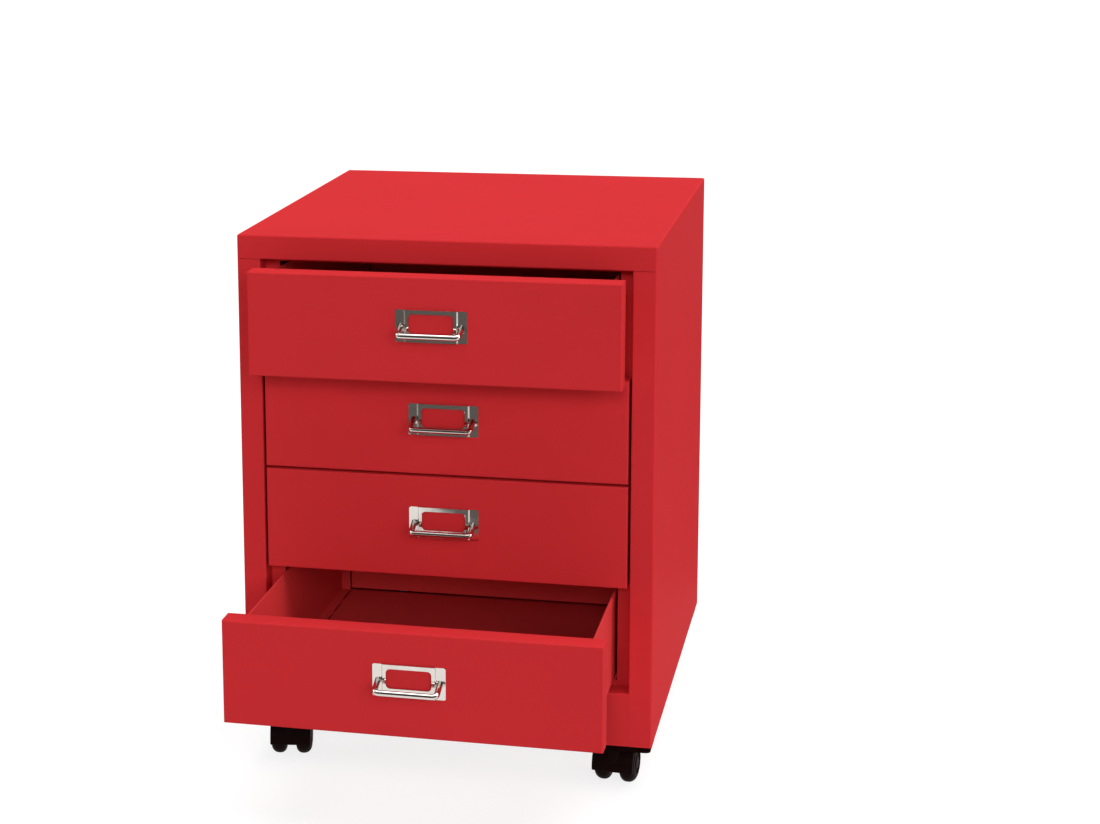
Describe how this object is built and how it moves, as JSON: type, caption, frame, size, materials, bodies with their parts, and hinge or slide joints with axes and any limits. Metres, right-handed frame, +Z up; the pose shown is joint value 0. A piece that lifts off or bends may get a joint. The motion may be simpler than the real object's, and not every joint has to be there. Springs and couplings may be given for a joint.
{
  "type": "mobile_drawer_pedestal",
  "caption": "Low steel under-desk cabinet on swivel castors, with a column of equal pan-front drawers that slide out on folded rails, each with a framed wire pull.",
  "frame": {"origin": "on the floor under the middle of the shell's footprint", "axes": "+Z up from the floor; -Y is the drawer side, so drawers open toward -Y; +X is to the right of a person facing the drawers"},
  "size_m": [0.41, 0.6468, 0.546],
  "materials": {
    "red_powder_coat": "satin",
    "bright_nickel": "polished",
    "black_paint": "satin",
    "black_nylon": "satin",
    "black_tread": "satin",
    "zinc_steel": "satin"
  },
  "bodies": {
    "cabinet": {"shell": "red_powder_coat", "back_panel": "red_powder_coat", "base_pan": "red_powder_coat", "bottom_rail": "red_powder_coat", "upright_front_left": "red_powder_coat", "upright_front_right": "red_powder_coat", "upright_rear_left": "red_powder_coat", "upright_rear_right": "red_powder_coat", "rail_1_left": "red_powder_coat", "rail_1_right": "red_powder_coat", "rail_2_left": "red_powder_coat", "rail_2_right": "red_powder_coat", "rail_3_left": "red_powder_coat", "rail_3_right": "red_powder_coat", "rail_4_left": "red_powder_coat", "rail_4_right": "red_powder_coat", "castor_front_left_plate": "black_paint", "castor_front_right_plate": "black_paint", "castor_rear_left_plate": "black_paint", "castor_rear_right_plate": "black_paint", "castor_screws": "zinc_steel"},
    "drawer_1": {"drawer_1_front": "red_powder_coat", "drawer_1_tray": "red_powder_coat", "drawer_1_back": "red_powder_coat", "drawer_1_handle_plate": "bright_nickel", "drawer_1_handle_pull": "bright_nickel"},
    "drawer_2": {"drawer_2_front": "red_powder_coat", "drawer_2_tray": "red_powder_coat", "drawer_2_back": "red_powder_coat", "drawer_2_handle_plate": "bright_nickel", "drawer_2_handle_pull": "bright_nickel"},
    "drawer_3": {"drawer_3_front": "red_powder_coat", "drawer_3_tray": "red_powder_coat", "drawer_3_back": "red_powder_coat", "drawer_3_handle_plate": "bright_nickel", "drawer_3_handle_pull": "bright_nickel"},
    "drawer_4": {"drawer_4_front": "red_powder_coat", "drawer_4_tray": "red_powder_coat", "drawer_4_back": "red_powder_coat", "drawer_4_handle_plate": "bright_nickel", "drawer_4_handle_pull": "bright_nickel"},
    "castor_front_left": {"castor_front_left_housing": "black_nylon", "castor_front_left_axle": "zinc_steel"},
    "castor_front_left_wheel_left": {"castor_front_left_wheel_left": "black_tread"},
    "castor_front_left_wheel_right": {"castor_front_left_wheel_right": "black_tread"},
    "castor_front_right": {"castor_front_right_housing": "black_nylon", "castor_front_right_axle": "zinc_steel"},
    "castor_front_right_wheel_left": {"castor_front_right_wheel_left": "black_tread"},
    "castor_front_right_wheel_right": {"castor_front_right_wheel_right": "black_tread"},
    "castor_rear_left": {"castor_rear_left_housing": "black_nylon", "castor_rear_left_axle": "zinc_steel"},
    "castor_rear_left_wheel_left": {"castor_rear_left_wheel_left": "black_tread"},
    "castor_rear_left_wheel_right": {"castor_rear_left_wheel_right": "black_tread"},
    "castor_rear_right": {"castor_rear_right_housing": "black_nylon", "castor_rear_right_axle": "zinc_steel"},
    "castor_rear_right_wheel_left": {"castor_rear_right_wheel_left": "black_tread"},
    "castor_rear_right_wheel_right": {"castor_rear_right_wheel_right": "black_tread"}
  },
  "joints": [
    {"name": "drawer_1_slide", "type": "slide", "parent": "cabinet", "child": "drawer_1", "axis": [0, -1, 0], "range_m": [-0.054, 0.206]},
    {"name": "drawer_2_slide", "type": "slide", "parent": "cabinet", "child": "drawer_2", "axis": [0, -1, 0], "range_m": [0, 0.26]},
    {"name": "drawer_3_slide", "type": "slide", "parent": "cabinet", "child": "drawer_3", "axis": [0, -1, 0], "range_m": [0, 0.26]},
    {"name": "drawer_4_slide", "type": "slide", "parent": "cabinet", "child": "drawer_4", "axis": [0, -1, 0], "range_m": [-0.16, 0.1]},
    {"name": "castor_front_left_swivel", "type": "hinge", "parent": "cabinet", "child": "castor_front_left", "pos_m": [-0.1655, -0.2035, 0.044], "axis": [0, 0, 1], "continuous": true},
    {"name": "castor_front_left_wheel_left_spin", "type": "hinge", "parent": "castor_front_left", "child": "castor_front_left_wheel_left", "pos_m": [-0.16828, -0.18774, 0.02], "axis": [0.9848, 0.1736, 0], "continuous": true},
    {"name": "castor_front_left_wheel_right_spin", "type": "hinge", "parent": "castor_front_left", "child": "castor_front_left_wheel_right", "pos_m": [-0.16828, -0.18774, 0.02], "axis": [0.9848, 0.1736, 0], "continuous": true},
    {"name": "castor_front_right_swivel", "type": "hinge", "parent": "cabinet", "child": "castor_front_right", "pos_m": [0.1655, -0.2035, 0.044], "axis": [0, 0, 1], "continuous": true},
    {"name": "castor_front_right_wheel_left_spin", "type": "hinge", "parent": "castor_front_right", "child": "castor_front_right_wheel_left", "pos_m": [0.16717, -0.18759, 0.02], "axis": [0.9945, -0.1045, 0], "continuous": true},
    {"name": "castor_front_right_wheel_right_spin", "type": "hinge", "parent": "castor_front_right", "child": "castor_front_right_wheel_right", "pos_m": [0.16717, -0.18759, 0.02], "axis": [0.9945, -0.1045, 0], "continuous": true},
    {"name": "castor_rear_left_swivel", "type": "hinge", "parent": "cabinet", "child": "castor_rear_left", "pos_m": [-0.1655, 0.2035, 0.044], "axis": [0, 0, 1], "continuous": true},
    {"name": "castor_rear_left_wheel_left_spin", "type": "hinge", "parent": "castor_rear_left", "child": "castor_rear_left_wheel_left", "pos_m": [-0.1655, 0.2195, 0.02], "axis": [1, 0, 0], "continuous": true},
    {"name": "castor_rear_left_wheel_right_spin", "type": "hinge", "parent": "castor_rear_left", "child": "castor_rear_left_wheel_right", "pos_m": [-0.1655, 0.2195, 0.02], "axis": [1, 0, 0], "continuous": true},
    {"name": "castor_rear_right_swivel", "type": "hinge", "parent": "cabinet", "child": "castor_rear_right", "pos_m": [0.1655, 0.2035, 0.044], "axis": [0, 0, 1], "continuous": true},
    {"name": "castor_rear_right_wheel_left_spin", "type": "hinge", "parent": "castor_rear_right", "child": "castor_rear_right_wheel_left", "pos_m": [0.1655, 0.2195, 0.02], "axis": [1, 0, 0], "continuous": true},
    {"name": "castor_rear_right_wheel_right_spin", "type": "hinge", "parent": "castor_rear_right", "child": "castor_rear_right_wheel_right", "pos_m": [0.1655, 0.2195, 0.02], "axis": [1, 0, 0], "continuous": true}
  ]
}
